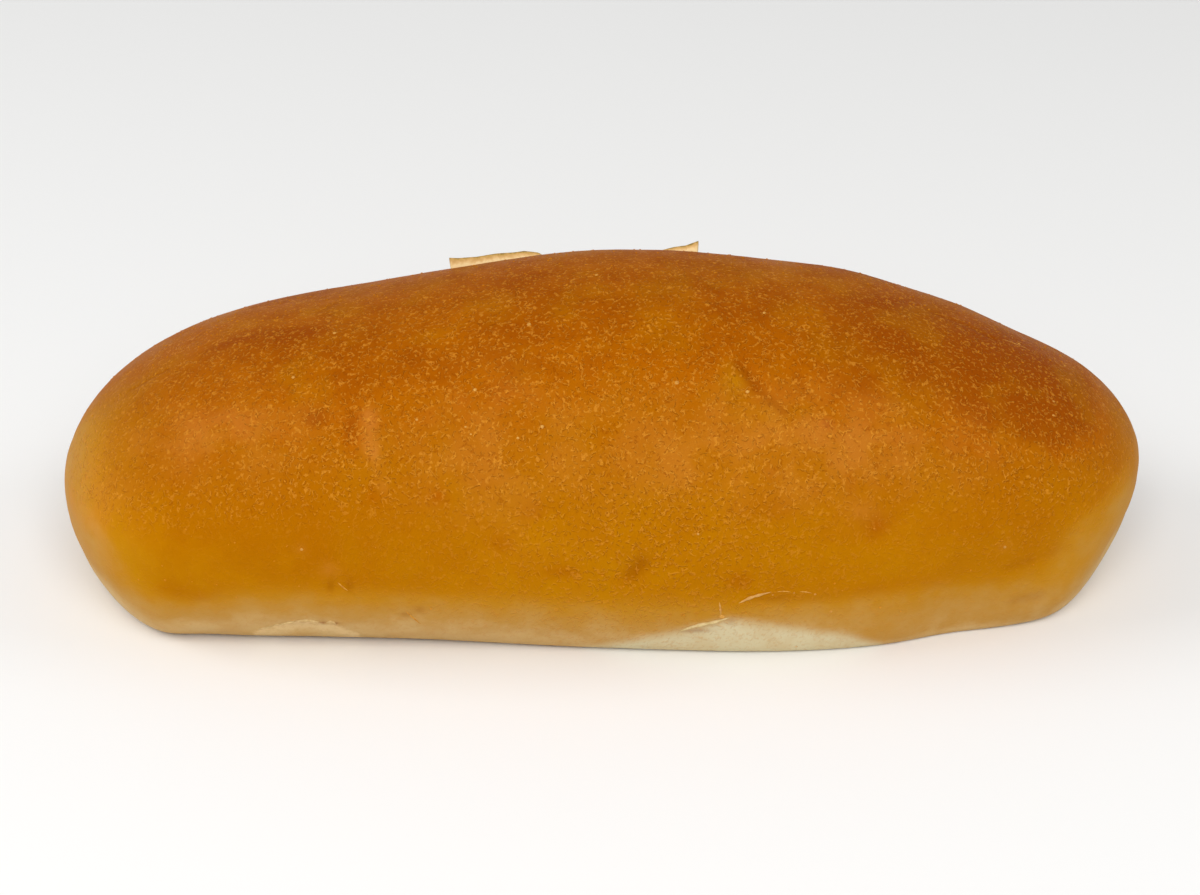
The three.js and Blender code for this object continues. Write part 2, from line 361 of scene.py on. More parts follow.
# %% Browning
# x, angle, reach along, reach round, how much browner
BROWNING_SPOTS = (
    (62, 110, 20, 20, 0.22),  # right shoulder, nearest to the heat
    (70, 146, 16, 20, 0.2),
    (-76, 140, 10, 24, -0.3),  # left end, furthest from it
    (-85, 135, 8, 30, -0.5),
    (86, 120, 7, 30, -0.35),  # right end
    (-50, 168, 16, 8, 0.14),
    (-47.5, 100, 4, 2.4, 0.3),  # small dark patches
    (-56.5, 94, 5, 2, 0.2),
    (46, 86, 4, 2.4, 0.2),
    (41, 89, 3, 2, 0.2),
    (-43.1, 137.6, 1.6, 1.6, 0.3),
    # painted shade in the slack skin beside the upright blister
    (-37.6, 142, 1.4, 4.2, 0.2),
    (-34.0, 159.4, 1.8, 1.3, 0.35),
    (-24.4, 159.2, 1.6, 1.2, 0.4),
    (-18.4, 156, 1.6, 1.0, 0.25),
    (33.2, 141.2, 1.0, 0.9, 0.35),
    (24.9, 154.2, 1.2, 1.2, 0.3),
    (31.5, 158.4, 1.4, 0.9, 0.3),
    (36.4, 156.8, 1.0, 1.6, 0.2),
    (40.9, 169.6, 1.6, 1.6, 0.5),
    (25.2, 163.2, 4.5, 1.6, 0.2),
    (-10.9, 162, 2.4, 1.6, 0.25),
    (-15.3, 171.6, 1.6, 1.2, 0.25),
    (-6.4, 179.2, 2.4, 1.0, 0.25),
    (20.4, 183, 1.6, 1.2, 0.3),
    (-65.4, 188.8, 2.2, 2.0, 0.2),
    (-61.0, 191.6, 2.0, 1.6, 0.14),
    (59.1, 196.4, 2.0, 1.4, 0.3),
    (69.7, 188.8, 2.0, 1.6, 0.3),
    (42, 188.6, 8, 1.2, 0.1),
    # the dimple's floor is painted lighter: a painted highlight where it faces the light
    (19.6, 129.6, 1.6, 2.0, -0.7),  # the dimple's light floor
    (24.6, 139, 1.4, 1.2, -0.3),
    (-74, 188, 8, 10, -0.15),  # gold beside the pale ends
    (74, 188, 8, 12, -0.2),
)
# where the skin is paler, or less pale, than its slope alone would make it
PALE_SPOTS = (
    (30, 198, 22, 3.2, 0.25),
    (58, 207, 16, 5, 0.08),
    (-63, 192, 7, 4, -0.22),
    (-86, 140, 9, 34, 0.3),  # left end
    (76, 170, 6, 8, -0.14),  # right end
)
LEAST_BROWN, BROWNER_HIGH_UP, BROWNER_FACING_UP = 0.25, 0.45, 0.3
BROWNEST = 1.4
END_FACING = 0.85  # how much the ends' paleness follows the way that they face
END_LEAN = 0.53  # how far it leans towards the foot
RIM_PALENESS, TIP_PALENESS = 0.26, 0.2  # of an end, and what its lowest part has on top
RIM_HEIGHTS, TIP_HEIGHTS = (8, 34), (2, 22)  # pale below the first, brown above the second


def soft_step(low, high, value):
    t = np.clip((value - low) / (high - low), 0, 1)
    return t * t * (3 - 2 * t)


def browning_of(x, angle, height, up):
    share = np.clip(height / along(CROWN_HEIGHT, x), 0, 1)
    browning = (LEAST_BROWN + BROWNER_HIGH_UP * soft_step(0.3, 1.0, share)
                + BROWNER_FACING_UP * soft_step(0.3, 1.0, up))
    return np.clip(browning + total(BROWNING_SPOTS, x, angle), 0, BROWNEST)


def total(spots, x, angle):
    return sum(amount * spot(x, angle, *place) for *place, amount in spots)


def paleness_of(x, angle, height, facing):
    """The foot and the two ends: quick to change at the front corners, slow elsewhere."""
    endward = np.abs(facing[:, 0])
    end_on = END_FACING * endward - END_LEAN * facing[:, 2]
    at_corner = soft_step(0.3, 0.7, -facing[:, 1])
    on_end = (1 - at_corner) * soft_step(0.3, 0.75, endward)
    low_rim, low_tip = (1 - soft_step(*span, height) for span in (RIM_HEIGHTS, TIP_HEIGHTS))
    rim = at_corner * soft_step(0.33, 0.5, end_on) + on_end * low_rim
    tip = at_corner * soft_step(0.53, 0.75, end_on) + on_end * low_tip
    foot = soft_step(-0.03, 0.62, -facing[:, 2])
    ends_and_foot = np.maximum(foot, RIM_PALENESS * rim) + TIP_PALENESS * tip
    return ends_and_foot + total(PALE_SPOTS, x, angle)


browning = browning_of(roll_x, roll_angle, height, facing[:, 2])
pale = paleness_of(roll_x, roll_angle, height, facing)
print("browning from", round(browning.min(), 2), "to", round(browning.max(), 2))
print("pale up to", round(pale.max(), 2))

# %% [markdown]
# ## Dough that never browned
# Along the front of the foot two places are cream instead of tan: a long lens under the
# belly, where the dough sagged on to the tray, and a small torn patch at the left with a
# ragged top. Each is drawn by its upper edge: a few points of x and height, in millimetres.

# %% Cream patches
BELLY_LENS = ((-3, 0.2), (0, 1.5), (5.6, 3.6), (11.8, 5.7), (16.2, 7.3), (19, 8.1), (22.3, 7.6),
              (26, 6.5), (30.7, 5.5), (36.4, 4.1), (39.6, 2.4), (43, 0.2))
TORN_PATCH = ((-53.8, 2.4), (-52.7, 3.5), (-50.9, 4.5), (-49, 5.3), (-46.9, 6.4), (-45, 6.6),
              (-43.6, 6.3), (-42.8, 5.3), (-41.6, 6.2), (-40.8, 5.5), (-39.6, 4.2), (-37.4, 3.0))
TORN_DEPTH = 3.2  # how far the torn patch reaches down from its upper edge
LENS_SOFTNESS, TORN_SOFTNESS, TORN_LOWER_SOFTNESS = 1.6, 0.35, 1.2
PAST_THE_EDGE = -9  # a height below the foot, so that nothing there is under the edge
FRONT_ANGLES = (150, 262)


def under_edge(edge, x, height, softness):
    """1 below an upper edge, 0 above it and past its ends."""
    edge_x, edge_height = np.array(edge).T
    top = np.interp(x, edge_x, edge_height, left=PAST_THE_EDGE, right=PAST_THE_EDGE)
    return 1 - soft_step(top - softness, top + softness, height)


on_front = (roll_angle > FRONT_ANGLES[0]) & (roll_angle < FRONT_ANGLES[1])
cream = under_edge(BELLY_LENS, roll_x, height, LENS_SOFTNESS) * on_front
torn = under_edge(TORN_PATCH, roll_x, height, TORN_SOFTNESS) * on_front
torn = torn * (1 - under_edge(TORN_PATCH, roll_x, height + TORN_DEPTH, TORN_LOWER_SOFTNESS))
print("cream points:", int((cream > 0.5).sum()), "torn points:", int((torn > 0.5).sum()))

# %% [markdown]
# ## Painted sheen and shade
# A soft crust is not evenly smooth. Where the front flank faces the light, its satin sheen is
# painted into the colour as lighter, pinker patches, and in the furrows and under the creases,
# where the light doesn't reach, shade is painted in as a darker colour. Both are soft spots, as
# the dimples are. `leathery` says how strong the fine wrinkling is: full on the crown and
# shoulders, where the skin dried first, and faint low on the flanks.

# %% Painted sheen and shade
# x, angle, reach along, reach round, strength
# painted sheen: lighter, pinker patches where the skin faces the light, and a few small painted
# glints
PAINTED_SHEEN = (
    (-58, 140, 13, 7, 0.5),
    (-15, 147, 13, 11, 0.35),
    (12, 150, 10, 8, 0.3),
    (36, 147, 20, 8, 0.55),
    (-80, 165, 7, 14, 0.5),
    (-41.2, 179.4, 1.6, 1.4, 0.6),
    (-45, 173.6, 1, 1, 0.4),
    (39, 164.6, 1.6, 1.4, 0.6),
    (60.7, 181.6, 1, 1, 0.4),
)
# painted highlight along the upright blister on the front
PAINTED_SHEEN_STREAKS = (
    (((-34.9, 137), (-34.7, 146)), 1.2, 0.75),
    (((-34.4, 146), (-32.6, 157)), 0.8, 0.55),
)
# painted shade under the creases, in the notches of the torn patch and beside the small creases
SHADE = (
    (14.0, 199.2, 2.2, 0.45, 0.6),  # under the lower crease
    (19.2, 196, 0.8, 0.6, 0.4),
    (26, 188.6, 3.6, 0.6, 0.35),  # under the upper crease
    (33, 189.8, 3, 0.7, 0.12),
    (-42.8, 200.6, 0.5, 0.6, 0.9),  # notches over the torn patch
    (-40.7, 200.4, 0.4, 0.5, 0.9),
    (-38.2, 184.4, 0.6, 1.2, 0.5),  # beside the small creases
    (-41.0, 185.2, 0.6, 1.0, 0.5),
    (-30.0, 194.8, 0.9, 0.6, 0.45),
    (-27.8, 192.6, 0.9, 0.8, 0.4),
)
LEATHERY_SPOTS = (
    (7, 171, 28, 14, 0.7),  # the middle of the front flank is wrinkled further down
    (-64, 150, 16, 14, -0.25),  # the left shoulder is smoother
    (66, 172, 14, 8, 0.4),  # the right end is wrinkled down to its pale rim
)
LEAST_LEATHERY = 0.2

# the painted sheen and the painted shade, kept on the crust's points
painted_sheen = total(PAINTED_SHEEN, roll_x, roll_angle)
for route, reach, amount in PAINTED_SHEEN_STREAKS:
    painted_sheen = painted_sheen + amount * beside(roll_x, roll_angle, route, reach)
shade = total(SHADE, roll_x, roll_angle)
for route, reach, _, furrow_shade in FURROWS:
    shade = np.maximum(shade, furrow_shade * beside(roll_x, roll_angle, route, reach))
leathery = LEAST_LEATHERY + (1 - LEAST_LEATHERY) * soft_step(0.2, 0.6, facing[:, 2])
leathery = np.minimum(leathery + total(LEATHERY_SPOTS, roll_x, roll_angle), 1)
crust_values = {"browning": browning, "pale": pale, "cream": cream, "torn": torn,
                "painted_sheen": np.clip(painted_sheen, 0, 1), "shade": np.clip(shade, 0, 1),
                "leathery": leathery}
for value_name, numbers in crust_values.items():
    store(crust_blank.data, value_name, numbers)
print("kept on the crust:", list(crust_values))

# %% [markdown]
# ## The crust's material
# Baked skin is a thin brown glaze over pale crumb. A picture wrapped round the roll could
# colour it, but it would show a seam and pinch at the ends. So nodes work the colour out at
# each place of the object. They are many, and these few short words add them.

# %% Material helpers


class Shader:
    """Adds nodes to a material in a few words."""

    def __init__(self, name):
        self.material = bpy.data.materials.new(name)
        self.material.use_nodes = True
        self.nodes = self.material.node_tree.nodes
        self.links = self.material.node_tree.links
        self.surface = self.nodes["Principled BSDF"]
        self.place = self.add("ShaderNodeTexCoord").outputs["Object"]

    def add(self, kind, inputs=(), **settings):
        node = self.nodes.new(kind)
        for key, value in settings.items():
            setattr(node, key, value)
        for key, value in dict(inputs).items():
            self.feed(node.inputs[key], value)
        return node

    def feed(self, socket, value):
        if isinstance(value, bpy.types.NodeSocket):
            self.links.new(value, socket)
        else:
            socket.default_value = value

    def attribute(self, name):
        return self.add("ShaderNodeAttribute", attribute_name=name).outputs["Fac"]

    def math(self, operation, a, b=0.0, clamp=False):
        node = self.add("ShaderNodeMath", {0: a, 1: b}, operation=operation, use_clamp=clamp)
        return node.outputs[0]

    def rescale(self, value, low, high, new_low=0.0, new_high=1.0):
        inputs = {0: value, 1: low, 2: high, 3: new_low, 4: new_high}
        return self.add("ShaderNodeMapRange", inputs, interpolation_type="SMOOTHSTEP").outputs[0]

    def spread(self, noise, amount):
        """A noise, which seldom leaves 0.3 to 0.7, as a number from -amount to amount."""
        return self.rescale(noise, 0.3, 0.7, -amount, amount)

    def noise(self, size_mm, detail=2.0, roughness=0.5, distortion=0.0, place=None):
        inputs = {"Vector": place or self.place, "Scale": 1 / (size_mm * MM),
                  "Detail": detail, "Roughness": roughness, "Distortion": distortion}
        return self.add("ShaderNodeTexNoise", inputs).outputs["Fac"]

    def moved(self, offset_mm):
        """The place that lies an offset away, so that a pattern is drawn beside itself."""
        offset = [v * MM for v in offset_mm]
        return self.add("ShaderNodeVectorMath", {0: self.place, 1: offset}).outputs[0]

    def ramp(self, value, stops):
        node = self.add("ShaderNodeValToRGB", {"Fac": value})
        band = node.color_ramp
        while len(band.elements) < len(stops):
            band.elements.new(0.5)
        for element, (position, colour) in zip(band.elements, stops):
            element.position = position
            element.color = linear(colour)
        return node.outputs["Color"]

    def mix(self, share, first, second):
        """Two colours mixed. Sockets 6 and 7 and output 2 are the node's colour ones."""
        node = self.add("ShaderNodeMix", data_type="RGBA")
        self.feed(node.inputs[0], share)
        self.feed(node.inputs[6], first)
        self.feed(node.inputs[7], second)
        return node.outputs[2]

    def worms(self, size_mm, thinness, place=None):
        """Short winding lines: where a noise crosses its middle, broken up by another."""
        winding = self.noise(size_mm, detail=1.0, distortion=0.6, place=place)
        off_line = self.math("ABSOLUTE", self.math("SUBTRACT", winding, 0.5))
        line = self.rescale(off_line, 0.0, thinness, 1.0, 0.0)
        broken = self.rescale(self.noise(size_mm * 0.8, detail=0.0, place=place), 0.4, 0.6)
        return self.math("MULTIPLY", line, broken)


def linear(colour):
    """A colour as it is seen, 0 to 255, in the linear light that shaders use."""
    parts = [c / 255 for c in colour]
    return [p / 12.92 if p <= 0.04045 else ((p + 0.055) / 1.055) ** 2.4 for p in parts] + [1.0]


print("a seen middle grey is in linear light:", round(linear((128, 128, 128))[0], 3))

# %% [markdown]
# ## The crust's colours
# The brown follows the browning, with a soft mottle where the sugar caught unevenly. Fine
# worm-like ridges, each a fraction of a millimetre wide, are bubbles that dried just under
# the glaze: they are coloured lighter than the crust round them, partly for their own paler
# skin and partly as a painted highlight, and each has a painted shade on its far, lower side.
# A painted sheen lightens patches of the front flank, and painted shade darkens the furrows
# and creases. The crust is satin, never glossy. Its gloss is set very low and tinted, because
# a clear one would mirror the pale surround and turn the brown grey.

# %% Crust colours
BROWNING_COLOURS = (
    (0.00, (183, 124, 2)),
    (0.25, (178, 112, 0)),
    (0.45, (170, 101, 0)),
    (0.65, (167, 96, 0)),
    (0.80, (165, 92, 0)),
    (0.92, (167, 89, 0)),
    (1.06, (152, 75, 0)),
    (1.20, (146, 68, 0)),
)
PALEST = 1.4
FOOT_COLOURS = (
    (0.00, (184, 122, 4)),
    (0.20, (184, 127, 30)),
    (0.40, (185, 133, 50)),
    (0.65, (188, 142, 70)),
    (1.00, (201, 165, 106)),
    (1.40, (208, 180, 130)),
)
CREAM = (211, 198, 160)
TORN_CRUMB = (222, 192, 138)
# the pinker tint of the painted sheen
PAINTED_SHEEN_COLOUR = (200, 124, 48)
OLIVE_GOLD = (172, 108, 0)
# ridges: partly their own paler skin, partly painted highlight
RIDGE_COLOUR = (226, 152, 48)
# painted shade on the far, lower side of each ridge
RIDGE_SHADE_COLOUR = (140, 64, 0)
RIDGE_SHADE_OFFSET = (0.0, -0.08, 0.15)  # mm, to the far and lower side of a ridge
BLISTER_COLOUR = (222, 146, 44)
SHADE_COLOUR = (124, 50, 0)
GLOSS, GLOSS_TINT = 0.03, (255, 200, 110)
RIDGE_SIZE, RIDGE_THINNESS = 0.85, 0.08
RIDGE_SHARE, RIDGE_SHADE_SHARE, SHADE_SHARE = 0.45, 0.47, 0.7
RIDGE_DEPTH = 0.06  # mm
print("colours from tan foot to brownest:", len(FOOT_COLOURS) + len(BROWNING_COLOURS))

# %% Crust material


def crust_material():
    s = Shader("baked crust")
    mottle = s.noise(5.0, detail=4, roughness=0.6)
    patches = s.noise(22.0, detail=2)
    grain = s.noise(0.5, detail=2, roughness=0.6, distortion=0.8)
    ridges = s.worms(RIDGE_SIZE, RIDGE_THINNESS)
    # the same ridges drawn a little to their far, lower side, where their painted shade lies
    shaded_sides = s.worms(RIDGE_SIZE, RIDGE_THINNESS, s.moved(RIDGE_SHADE_OFFSET))
    uneven = s.math("ADD", s.spread(mottle, 0.06), s.spread(patches, 0.05))
    pale = s.attribute("pale")
    leathery = s.attribute("leathery")
    browned = s.math("DIVIDE", s.math("ADD", s.attribute("browning"), uneven), BROWNEST)
    colour = s.ramp(browned, [(stop / BROWNEST, c) for stop, c in BROWNING_COLOURS])
    golden = s.rescale(s.noise(9.0, detail=2), 0.45, 0.7, 0.0, 0.35)
    colour = s.mix(golden, colour, linear(OLIVE_GOLD))
    foot = s.math("ADD", pale, s.spread(mottle, 0.12))
    foot_share = s.math("DIVIDE", foot, PALEST)
    foot_colour = s.ramp(foot_share, [(stop / PALEST, c) for stop, c in FOOT_COLOURS])
    colour = s.mix(s.rescale(pale, 0.0, 0.3), colour, foot_colour)
    # painted sheen, broken into patches
    painted_sheen_patches = s.rescale(s.noise(6.0, detail=3), 0.35, 0.65, 0.15, 0.75)
    painted_sheen = s.math("MULTIPLY", s.attribute("painted_sheen"), painted_sheen_patches)
    colour = s.mix(painted_sheen, colour, linear(PAINTED_SHEEN_COLOUR))
    cream_patches = s.rescale(s.noise(4.0, detail=2), 0.35, 0.6, 0.78, 1.0)
    cream = s.math("MULTIPLY", s.attribute("cream"), cream_patches)
    colour = s.mix(cream, colour, linear(CREAM))
    torn_flakes = s.rescale(s.noise(1.6, detail=2), 0.35, 0.55, 0.4, 0.9)
    torn = s.math("MULTIPLY", s.attribute("torn"), torn_flakes)
    colour = s.mix(torn, colour, linear(TORN_CRUMB))
    # painted shade in the furrows and under the creases
    shade = s.math("MULTIPLY", s.attribute("shade"), SHADE_SHARE)
    colour = s.mix(shade, colour, linear(SHADE_COLOUR))
    # painted shade beside each ridge
    ridge_shade_share = s.math("MULTIPLY", s.math("MULTIPLY", shaded_sides, leathery), RIDGE_SHADE_SHARE)
    colour = s.mix(ridge_shade_share, colour, linear(RIDGE_SHADE_COLOUR))
    # lighter ridges, partly a painted highlight
    ridge_share = s.math("MULTIPLY", s.math("MULTIPLY", ridges, leathery), RIDGE_SHARE)
    colour = s.mix(ridge_share, colour, linear(RIDGE_COLOUR))
    # blisters, coloured lighter: partly a painted highlight
    colour = s.mix(s.attribute("blister"), colour, linear(BLISTER_COLOUR))
    s.feed(s.surface.inputs["Base Color"], colour)
    s.feed(s.surface.inputs["Roughness"], s.rescale(mottle, 0.3, 0.7, 0.42, 0.52))
    s.surface.inputs["Specular IOR Level"].default_value = GLOSS
    s.surface.inputs["Specular Tint"].default_value = linear(GLOSS_TINT)
    relief_height = s.math("ADD", s.math("SUBTRACT", ridges, shaded_sides), grain)
    relief_height = s.math("MULTIPLY", relief_height, leathery)
    bump = s.add("ShaderNodeBump", {"Strength": 1.0, "Distance": RIDGE_DEPTH * MM,
                                    "Height": relief_height})
    s.feed(s.surface.inputs["Normal"], bump.outputs[0])
    return s.material


crust_finish = crust_material()
print("materials:", [m.name for m in bpy.data.materials])

# %% [markdown]
# ## Short words for Geometry Nodes
# The skin's unevenness and its tiny blisters follow rules, so trees of nodes make them. A
# tree's inputs carry its sizes by name, and are set by their sockets' identifiers before the
# object is first evaluated. The result is kept as a plain mesh.

# %% Node tree helpers


class Tree:
    """A Geometry Nodes tree with named inputs."""

    def __init__(self, name, sizes):
        self.group = bpy.data.node_groups.new(name, "GeometryNodeTree")
        sockets = self.group.interface
        sockets.new_socket("Geometry", in_out="INPUT", socket_type="NodeSocketGeometry")
        sockets.new_socket("Geometry", in_out="OUTPUT", socket_type="NodeSocketGeometry")
        self.sizes = sizes
        self.identifiers = {}
        for size_name, value in sizes.items():
            kind = "NodeSocketInt" if isinstance(value, int) else "NodeSocketFloat"
            socket = sockets.new_socket(size_name, in_out="INPUT", socket_type=kind)
            self.identifiers[size_name] = socket.identifier
        self.start = self.group.nodes.new("NodeGroupInput")
        self.end = self.group.nodes.new("NodeGroupOutput")
        self.geometry = self.start.outputs["Geometry"]

    def size(self, name):
        return self.start.outputs[name]

    def add(self, kind, inputs=(), **settings):
        node = self.group.nodes.new(kind)
        for key, value in settings.items():
            setattr(node, key, value)
        for key, value in dict(inputs).items():
            if isinstance(value, bpy.types.NodeSocket):
                self.group.links.new(value, node.inputs[key])
            else:
                node.inputs[key].default_value = value
        return node

    def math(self, operation, a, b=0.0):
        return self.add("ShaderNodeMath", {0: a, 1: b}, operation=operation).outputs[0]

    def scaled(self, vector, share):
        inputs = {0: vector, 3: share}
        return self.add("ShaderNodeVectorMath", inputs, operation="SCALE").outputs[0]

    def finish(self, geometry):
        self.group.links.new(geometry, self.end.inputs["Geometry"])

    def apply_to(self, name, source):
        """Runs the tree on a copy of source and returns the result as a plain mesh object."""
        working = bpy.data.objects.new(name + " working", source.data.copy())
        bpy.context.scene.collection.objects.link(working)
        modifier = working.modifiers.new(self.group.name, "NODES")
        modifier.node_group = self.group
        for size_name, value in self.sizes.items():
            modifier[self.identifiers[size_name]] = value
        evaluated = working.evaluated_get(bpy.context.evaluated_depsgraph_get())
        mesh = bpy.data.meshes.new_from_object(evaluated)
        mesh.name = name
        made = bpy.data.objects.new(name, mesh)
        bpy.context.scene.collection.objects.link(made)
        bpy.data.objects.remove(working)
        return made


print("node trees so far:", len(bpy.data.node_groups))

# %% [markdown]
# ## Swells and wrinkles
# No skin is as even as a formula. A small tree of nodes pushes each point of the crust in or
# out along its normal by two noises: wide, low swells and small wrinkles. The foot is left
# as it is, so that the roll still lies flat.

# %% Swells and wrinkles
KEPT_FLAT, FREE_TO_MOVE = 0.2, 4.0  # heights in mm between which the swells set in


def swell_tree():
    tree = Tree("Crust swells", {"Swell width": 16 * MM, "Swell height": 0.22 * MM,
                                 "Wrinkle width": 2.4 * MM, "Wrinkle height": 0.04 * MM})

    def wave(width, height):
        noise = tree.add("ShaderNodeTexNoise", {"Scale": tree.math("DIVIDE", 1.0, width),
                                                "Detail": 1.5})
        return tree.math("MULTIPLY", tree.math("SUBTRACT", noise.outputs[0], 0.5), height)

    swell = wave(tree.size("Swell width"), tree.size("Swell height"))
    wrinkle = wave(tree.size("Wrinkle width"), tree.size("Wrinkle height"))
    lift = tree.math("MULTIPLY", tree.math("ADD", swell, wrinkle), 2.0)
    position = tree.add("GeometryNodeInputPosition").outputs[0]
    z = tree.add("ShaderNodeSeparateXYZ", {0: position}).outputs[2]
    heights = {0: z, 1: KEPT_FLAT * MM, 2: FREE_TO_MOVE * MM}
    free = tree.add("ShaderNodeMapRange", heights).outputs[0]
    normal = tree.add("GeometryNodeInputNormal").outputs[0]
    offset = tree.scaled(normal, tree.math("MULTIPLY", lift, free))
    moved = tree.add("GeometryNodeSetPosition", {"Geometry": tree.geometry, "Offset": offset})
    dressed = tree.add("GeometryNodeSetMaterial", {"Geometry": moved.outputs[0],
                                                   "Material": crust_finish})
    tree.finish(dressed.outputs[0])
    return tree


crust = swell_tree().apply_to("crust", crust_blank)
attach(crust, "root")
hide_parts("roll")
print("crust points:", len(crust.data.vertices), "attributes:",
      [a.name for a in crust.data.attributes if a.domain == "POINT"])

# %% [markdown]
# ## Pinhead blisters
# Over the crown and the upper flanks the glaze is dotted with tiny dry blisters, a few
# tenths of a millimetre across, which catch the light. Their colour is lighter than the crust's,
# partly as a painted highlight. There are about fifteen hundred, too many to place by hand, so
# nodes scatter them: more where the crust is browner, none on the foot, each turned to face
# outwards and sunk halfway into the skin.

# %% Blisters
SMALLEST_BLISTER, LARGEST_BLISTER = 0.5, 1.5  # times the radius
# a blister's lighter colour is partly a painted highlight
BLISTER_LIGHTNESS = 0.4  # how far a blister's colour is from the crust's


def blister_tree():
    tree = Tree("Pinhead blisters", {"Per square metre": 130000.0, "Radius": 0.15 * MM,
                                     "Flatness": 0.55, "Seed": 7})
    browning = tree.add("GeometryNodeInputNamedAttribute", {"Name": "browning"},
                        data_type="FLOAT").outputs["Attribute"]
    pale = tree.add("GeometryNodeInputNamedAttribute", {"Name": "pale"},
                    data_type="FLOAT").outputs["Attribute"]
    browner = tree.add("ShaderNodeMapRange", {0: browning, 1: 0.2, 2: 0.9, 3: 0.15, 4: 1.0})
    above_foot = tree.add("ShaderNodeMapRange", {0: pale, 1: 0.0, 2: 0.8, 3: 1.0, 4: 0.0})
    share = tree.math("MULTIPLY", browner.outputs[0], above_foot.outputs[0])
    density = tree.math("MULTIPLY", tree.size("Per square metre"), share)
    points = tree.add("GeometryNodeDistributePointsOnFaces",
                      {"Mesh": tree.geometry, "Density": density, "Seed": tree.size("Seed")})
    blister = tree.add("GeometryNodeMeshIcoSphere", {"Radius": tree.size("Radius"),
                                                     "Subdivisions": 1})
    size = tree.add("FunctionNodeRandomValue", data_type="FLOAT")
    size.inputs[2].default_value = SMALLEST_BLISTER
    size.inputs[3].default_value = LARGEST_BLISTER
    tree.group.links.new(tree.size("Seed"), size.inputs["Seed"])
    flat = tree.math("MULTIPLY", size.outputs[1], tree.size("Flatness"))
    scale = tree.add("ShaderNodeCombineXYZ", {0: size.outputs[1], 1: size.outputs[1], 2: flat})
    placed = tree.add("GeometryNodeInstanceOnPoints", {
        "Points": points.outputs["Points"], "Instance": blister.outputs["Mesh"],
        "Rotation": points.outputs["Rotation"], "Scale": scale.outputs[0]})
    real = tree.add("GeometryNodeRealizeInstances", {"Geometry": placed.outputs[0]})
    smooth = tree.add("GeometryNodeSetShadeSmooth", {"Geometry": real.outputs[0]})
    marked = tree.add("GeometryNodeStoreNamedAttribute",
                      {"Geometry": smooth.outputs[0], "Name": "blister"}, data_type="FLOAT")
    marked.inputs["Value"].default_value = BLISTER_LIGHTNESS
    dressed = tree.add("GeometryNodeSetMaterial", {"Geometry": marked.outputs[0],
                                                   "Material": crust_finish})
    tree.finish(dressed.outputs[0])
    return tree


blisters = blister_tree().apply_to("crust_blisters", crust)
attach(blisters, "root")
bpy.data.objects.remove(crust_blank)
print("blister faces:", len(blisters.data.polygons), "attributes:",
      [a.name for a in blisters.data.attributes if a.domain == "POINT"])

# %% [markdown]
# ## Strips that follow the crust
# The creases and the peeled lip are all narrow strips of skin that lie along the crust. A
# bevelled curve could draw one, but it would not follow the bumps under it. So rings of
# points are swept along a route over the surface formula, and closed at both ends.

# %% Strips
STRIP_SIDES = 10


def unit(vectors):
    return vectors / np.linalg.norm(vectors, axis=-1, keepdims=True)


def strip(points, half_width, rise, root, steps):
    """Rings swept over the crust through a few [x, angle] points: (points, faces)."""
    place = smooth_curve(points, np.linspace(0, len(points) - 1, steps + 1))
    x, angle = place[:, 0], place[:, 1]
    centre = crust_points(x, angle) + CENTRING
    nudge = 0.3  # a small way along and round, to feel how the crust slopes
    along_x = crust_points(x + nudge, angle) - crust_points(x - nudge, angle)
    round_it = crust_points(x, angle + nudge) - crust_points(x, angle - nudge)
    normal = unit(np.cross(round_it, along_x))
    forward = unit(np.gradient(centre, axis=0))
    sideways = unit(np.cross(normal, forward))
    turn = np.arange(STRIP_SIDES) * 2 * np.pi / STRIP_SIDES
    wide = (half_width[:, None] * np.cos(turn))[..., None]
    tall = ((rise - root)[:, None] / 2 + (rise + root)[:, None] / 2 * np.sin(turn))[..., None]
    rings = centre[:, None] + sideways[:, None] * wide + normal[:, None] * tall
    ring = np.arange(steps)[:, None] * STRIP_SIDES
    here = ring + np.arange(STRIP_SIDES)
    after = ring + (np.arange(STRIP_SIDES) + 1) % STRIP_SIDES
    faces = np.stack([here, after, after + STRIP_SIDES, here + STRIP_SIDES], -1)
    faces = faces.reshape(-1, 4).tolist()
    last = steps * STRIP_SIDES
    faces.append(list(range(STRIP_SIDES))[::-1])
    faces.append(list(range(last, last + STRIP_SIDES)))
    return rings.reshape(-1, 3), faces


def join_shapes(shapes):
    points, faces, count = [], [], 0
    for shape_points, shape_faces in shapes:
        points.append(shape_points)
        faces += [[i + count for i in face] for face in shape_faces]
        count += len(shape_points)
    return np.concatenate(points), faces


print("sides of a strip:", STRIP_SIDES)

# %% [markdown]
# ## Creases: skin rolled up into thin edges
# Low on the front the skin split and dried in thin raised edges, and a few hair creases run
# across it. Each is a strip along a short route, thin at its ends and lighter than the skin
# round it, because there the glaze is torn. Here and there a blister burst and dried to a
# light flake, which is a strip as wide as it is long.

